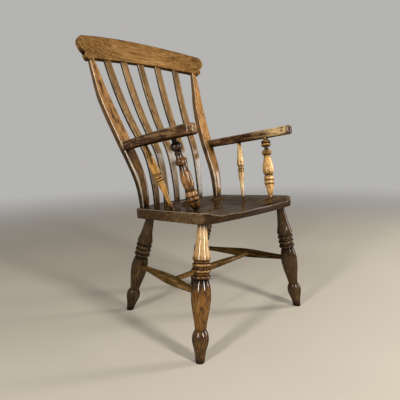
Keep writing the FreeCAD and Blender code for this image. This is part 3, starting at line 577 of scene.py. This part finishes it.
class CHAIR_OT_comb(bpy.types.Operator):
    """Leave the comb dry, with fine grain along it, dust on its top edge, painted shade underneath and a pale
    line along its front edge, partly wear and partly a painted highlight
    """
    bl_idname = "chair.comb"
    bl_label = "Finish the comb"

    def execute(self, context):
        settings = context.scene.chair
        right, left = ends("comb", X)
        leaning_up = Vector((0, 0.33, 0.95))
        dress("comb", wood(
            wood_name("comb"), settings.colours.comb, right, left, leaning_up, seed=22.0,
            tones=((0.0, 0.4), (0.12, 0.42), (0.3, 0.5), (0.6, 0.55), (0.92, 0.38), (1.0, 0.35)),
            shade_and_dirt=(UNDERSIDE_SHADE, ((0, 0.2, 1), 0.55)), arris_wear_and_highlights=(((-0.75, -0.65, 0.1), 0.5),),
            figure=0.15, mottle=0.15, specks=0.08, wear=0.7, roughness=0.5,
            polish=settings.finish.dull_polish))
        return {"FINISHED"}


class CHAIR_OT_arms(bpy.types.Operator):
    """Polish the arms, the left one pale near its front, partly rubbed and partly a painted highlight"""
    bl_idname = "chair.arms"
    bl_label = "Finish the arms"

    def execute(self, context):
        settings = context.scene.chair
        tones = {
            "right": ((0.0, 0.35), (0.3, 0.45), (0.7, 0.5), (0.86, 0.55), (1.0, 0.6)),
            # The left arm's front is made pale: partly wear, partly a painted highlight
            "left": ((0.0, 0.42), (0.3, 0.55), (0.5, 0.65), (0.7, 0.75, 0.15), (0.88, 0.8, 0.65),
                     (0.96, 0.65, 0.35), (1.0, 0.2)),
        }
        for number, side in enumerate(SIDES):
            name = "arm_" + side
            front, back = ends(name, Y)
            dress(name, wood(
                wood_name(name), settings.colours.arms, back, front,
                seed=25.0 + number, tones=tones[side],
                # Pale lines along the top and front edges: partly wear, partly a painted highlight
                arris_wear_and_highlights=(*TOP_ARRISES, ((0, -0.7, 0.7), 0.35)),
                figure=0.15, streaks=0.85, mottle=0.6, specks=0.6, wear=0.4, roughness=0.36,
                polish=settings.finish.polish, gloss=0.22))
        return {"FINISHED"}


class CHAIR_OT_supports(bpy.types.Operator):
    """Polish the arm supports and the slim spindles"""
    bl_idname = "chair.supports"
    bl_label = "Finish the supports"

    def execute(self, context):
        settings = context.scene.chair
        # The left support takes the paler spindle colour and is rubbed paler: partly its own colour and wear,
        # partly painted light where a window falls on it
        support_colours = {"right": settings.colours.support, "left": settings.colours.spindles}
        support_tones = {
            "right": ((0.0, 0.2), (0.16, 0.3), (0.27, 0.6), (0.52, 0.7), (0.6, 0.4), (0.66, 0.25),
                      (0.78, 0.0), (1.0, 0.0)),
            "left": ((0.0, 0.4), (0.1, 0.5), (0.2, 0.7, 0.22), (0.6, 0.7, 0.28), (0.72, 0.3, 0.05),
                     (0.85, 0.25), (1.0, 0.1)),
        }
        # The spindles darken towards their tops, a painted shadow under the arms; the left one is made pale
        # as a painted reflection of a window
        spindle_tones = {
            "right": ((0.0, 0.35), (0.2, 0.5), (0.45, 0.6), (0.8, 0.5), (1.0, 0.1)),
            "left": ((0.0, 0.4, 0.4), (0.2, 0.5, 0.7), (0.45, 0.4, 0.4), (0.8, 0.5, 0.6), (1.0, 0.3, 0.1)),
        }
        for number, side in enumerate(SIDES):
            name = "arm_support_" + side
            foot, head = ends(name, Z)
            dress(name, wood(
                wood_name(name), support_colours[side], foot, head, seed=28.0 + number,
                tones=support_tones[side], figure=0.1, streaks=0.4, mottle=0.95, specks=0.9, wear=0.2,
                roughness=0.34, polish=1.8 * settings.finish.polish, gloss=0.07))
            name = "arm_spindle_" + side
            foot, head = ends(name, Z)
            dress(name, wood(
                wood_name(name), settings.colours.spindles, foot, head, seed=31.0 + number,
                tones=spindle_tones[side], figure=0.1, streaks=0.7, mottle=0.8, specks=0.8, wear=0.2,
                roughness=0.36, polish=1.6 * settings.finish.polish, gloss=0.09))
        return {"FINISHED"}


class CHAIR_OT_fasteners(bpy.types.Operator):
    """Finish the arm screws and the comb pegs"""
    bl_idname = "chair.fasteners"
    bl_label = "Finish the fasteners"

    def execute(self, context):
        settings = context.scene.chair
        front, back = ends("comb_pegs", Y)
        dress("comb_pegs", wood(
            "Peg end grain", settings.colours.comb, front, back, seed=35.0, wear=0.1, roughness=0.55,
            polish=settings.finish.dull_polish))
        dress("arm_screws", old_steel("Old screw steel", settings.colours.steel))
        return {"FINISHED"}


STAIN_WAVES = (600.0, 600.0, 600.0)
STAIN_STEP = (0.45, 0.65)
STAIN_ROUGHNESS = (0.3, 0.7, 0.35, 0.8)
RUST = (0.10, 0.045, 0.018, 1)


def old_steel(name, colour):
    """Dull steel with brown stains"""
    material = bpy.data.materials.new(name)
    material.use_nodes = True
    tree = material.node_tree
    tree.nodes.clear()
    place = add(tree, "ShaderNodeTexCoord").outputs["Object"]
    stains = cloud(tree, place, STAIN_WAVES, detail=4.0)
    tint = blend(tree, fade(tree, stains, *STAIN_STEP), (*colour, 1), RUST)
    relief = add(tree, "ShaderNodeBump", {"Height": stains, "Distance": 0.0003, "Strength": 0.5}).outputs[0]
    shader = add(tree, "ShaderNodeBsdfPrincipled", {
        "Base Color": tint, "Metallic": fade(tree, stains, *STAIN_STEP, 1.0, 0.1),
        "Roughness": fade(tree, stains, *STAIN_ROUGHNESS), "Normal": relief,
    })
    add(tree, "ShaderNodeOutputMaterial", {"Surface": shader.outputs[0]})
    return material


# Studio

# Floor: waves of its drift in a metre, its noise from and to with the brightness there, and the
# shares of its reach between which it fades
FLOOR_WAVES = (1.4, 1.4, 1.4)
FLOOR_DRIFT = (0.3, 0.7, 0.96, 1.0)
FLOOR_FADE = (0.2, 0.8)

# Name, direction from the chair, width, height and power of each window light
WINDOWS = (
    ("left window", (-0.975, -0.2, 0.38), 0.3, 1.5, 44.0),
    ("front window", (-0.1, -0.99, 0.38), 0.32, 1.5, 62.0),
    ("right window", (0.78, -0.62, 0.24), 0.4, 1.9, 44.0),
)
WINDOW_COLOUR = (1.0, 0.985, 0.96)
CHAIR_MIDDLE = Vector((0, 0, 0.5))


def floor_material(colour, reach):
    """Pale matt floor that fades into the backdrop far from the chair"""
    material = bpy.data.materials.new("Floor")
    material.use_nodes = True
    tree = material.node_tree
    tree.nodes.clear()
    place = add(tree, "ShaderNodeTexCoord").outputs["Object"]
    drift = fade(tree, cloud(tree, place, FLOOR_WAVES), *FLOOR_DRIFT)
    grey = add(tree, "ShaderNodeCombineColor", {0: drift, 1: drift, 2: drift}).outputs[0]
    tint = blend(tree, 1.0, (*colour, 1), grey, "MULTIPLY")
    matt = add(tree, "ShaderNodeBsdfPrincipled", {
        "Base Color": tint, "Roughness": 0.8, "Specular IOR Level": 0.2}).outputs[0]
    away = add(tree, "ShaderNodeVectorMath", {0: place}, operation="LENGTH").outputs["Value"]
    clear = add(tree, "ShaderNodeBsdfTransparent").outputs[0]
    gone = fade(tree, away, *(share * reach for share in FLOOR_FADE))
    surface = add(tree, "ShaderNodeMixShader", {0: gone, 1: matt, 2: clear})
    add(tree, "ShaderNodeOutputMaterial", {"Surface": surface.outputs[0]})
    return material


def window(name, direction, distance, width, height, power):
    """Soft rectangular light that looks at the chair's middle"""
    data = bpy.data.lights.new(name, "AREA")
    data.shape = "RECTANGLE"
    data.size = width
    data.size_y = height
    data.energy = power
    data.color = WINDOW_COLOUR
    light = bpy.data.objects.new(name, data)
    light.location = CHAIR_MIDDLE + Vector(direction).normalized() * distance
    light.rotation_euler = (CHAIR_MIDDLE - light.location).to_track_quat("-Z", "Y").to_euler()
    bpy.context.scene.collection.objects.link(light)


class CHAIR_OT_stage(bpy.types.Operator):
    """Set up the floor, the backdrop, the lights and the camera"""
    bl_idname = "chair.stage"
    bl_label = "Set the stage"

    def execute(self, context):
        studio = context.scene.chair.studio
        self.make_floor(context, studio)
        self.make_lights(context, studio)
        self.make_camera(context, studio)
        context.scene.view_settings.view_transform = "Standard"
        return {"FINISHED"}

    def make_floor(self, context, studio):
        """Wide floor under the chair"""
        mesh = bmesh.new()
        bmesh.ops.create_circle(mesh, cap_ends=True, segments=96, radius=studio.floor_reach)
        data = bpy.data.meshes.new("floor")
        mesh.to_mesh(data)
        mesh.free()
        floor = bpy.data.objects.new("floor", data)
        context.scene.collection.objects.link(floor)
        data.materials.append(floor_material(studio.floor_colour, studio.floor_reach))

    def make_lights(self, context, studio):
        """Three tall window lights, an even fill and a pale backdrop"""
        for name, direction, width, height, power in WINDOWS:
            window(name, direction, studio.lamp_distance, width, height, power)
        world = bpy.data.worlds.new("studio")
        world.use_nodes = True
        tree = world.node_tree
        tree.nodes.clear()
        # The backdrop is what the camera and the polish see, and the fill is what lights the chair
        path = add(tree, "ShaderNodeLightPath").outputs
        seen = calc(tree, "ADD", calc(tree, "ADD", path["Is Camera Ray"], path["Is Glossy Ray"]),
                    path["Is Transmission Ray"], clamp=True)
        fill, wall = (add(tree, "ShaderNodeBackground", {"Color": (*colour, 1), "Strength": 1.0}).outputs[0]
                      for colour in (studio.fill_colour, studio.wall_colour))
        surface = add(tree, "ShaderNodeMixShader", {0: seen, 1: fill, 2: wall})
        add(tree, "ShaderNodeOutputWorld", {"Surface": surface.outputs[0]})
        context.scene.world = world

    def make_camera(self, context, studio):
        """Camera at the photograph's viewing angle"""
        yaw, pitch, roll = studio.camera_yaw, studio.camera_pitch, studio.camera_roll
        ahead = Vector((math.sin(yaw) * math.cos(pitch), math.cos(yaw) * math.cos(pitch), -math.sin(pitch)))
        level = ahead.cross(UPWARD).normalized()
        down = ahead.cross(level)
        right = level * math.cos(roll) + down * math.sin(roll)
        low = down * math.cos(roll) - level * math.sin(roll)
        data = bpy.data.cameras.new("camera")
        data.sensor_width = 36.0
        data.lens = studio.lens
        camera = bpy.data.objects.new("camera", data)
        turn = Matrix((right, -low, -ahead)).transposed().to_4x4()
        camera.matrix_world = Matrix.Translation(studio.camera_place) @ turn
        context.scene.collection.objects.link(camera)
        context.scene.camera = camera


OPERATORS = (
    CHAIR_OT_seat, CHAIR_OT_legs, CHAIR_OT_stretchers, CHAIR_OT_stiles, CHAIR_OT_laths, CHAIR_OT_comb,
    CHAIR_OT_arms, CHAIR_OT_supports, CHAIR_OT_fasteners, CHAIR_OT_stage,
)


class CHAIR_PT_panel(bpy.types.Panel):
    """Lists the chair's operators"""
    bl_idname = "CHAIR_PT_panel"
    bl_label = "Lath-back armchair"
    bl_space_type = "VIEW_3D"
    bl_region_type = "UI"
    bl_category = "Chair"

    def draw(self, context):
        for operator in OPERATORS:
            self.layout.operator(operator.bl_idname)


CLASSES = (WoodColours, WoodFinish, StudioSizes, ChairSettings, *OPERATORS, CHAIR_PT_panel)


def register():
    """Make the classes and the scene's settings known"""
    for item in CLASSES:
        bpy.utils.register_class(item)
    bpy.types.Scene.chair = PointerProperty(type=ChairSettings)


def unregister():
    """Take the classes and the settings away again"""
    del bpy.types.Scene.chair
    for item in reversed(CLASSES):
        bpy.utils.unregister_class(item)


def main():
    """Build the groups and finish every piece"""
    register()
    grain_group()
    old_wood_group()
    for operator in OPERATORS:
        group, name = operator.bl_idname.split(".")
        getattr(getattr(bpy.ops, group), name)()


if __name__ == "__main__":
    main()
